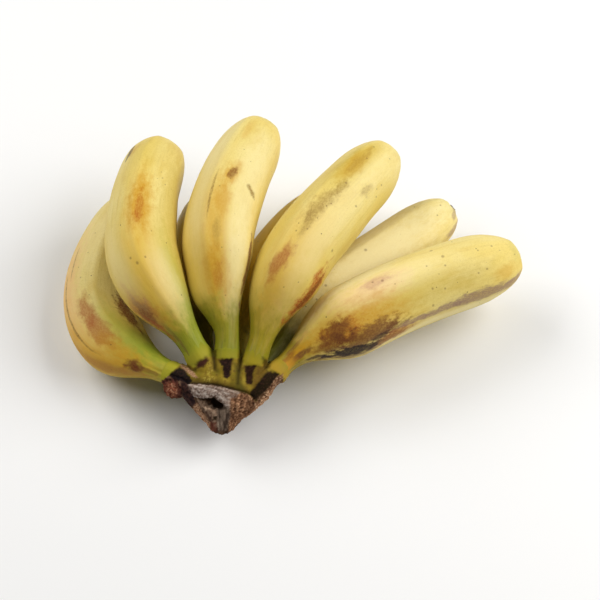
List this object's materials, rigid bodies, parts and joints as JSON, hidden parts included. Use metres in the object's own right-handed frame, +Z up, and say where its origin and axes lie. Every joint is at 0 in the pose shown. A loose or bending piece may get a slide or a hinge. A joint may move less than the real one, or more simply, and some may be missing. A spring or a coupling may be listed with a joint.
{
  "type": "baby banana",
  "caption": "Hand of baby bananas: short plump curved fingers in two rows, joined at one woody crown, with spotted yellow peel and green stalks.",
  "frame": {"origin": "middle of the hand's bounding box, on the plane it rests on", "axes": "+Z up, +Y from the crown towards the finger tips, +X to the side the fingers curve to"},
  "size_m": [0.1972, 0.142, 0.0622],
  "materials": {
    "peel": "waxy satin fruit peel, yellow with brown bruises and green at the stalk",
    "crown": "dry, fibrous, cracked"
  },
  "bodies": {
    "root": {"crown": "crown", "upper_finger_1": "peel", "upper_finger_2": "peel", "upper_finger_3": "peel", "upper_finger_4": "peel", "upper_finger_5": "peel", "lower_finger_1": "peel", "lower_finger_2": "peel", "lower_finger_3": "peel"}
  },
  "joints": []
}
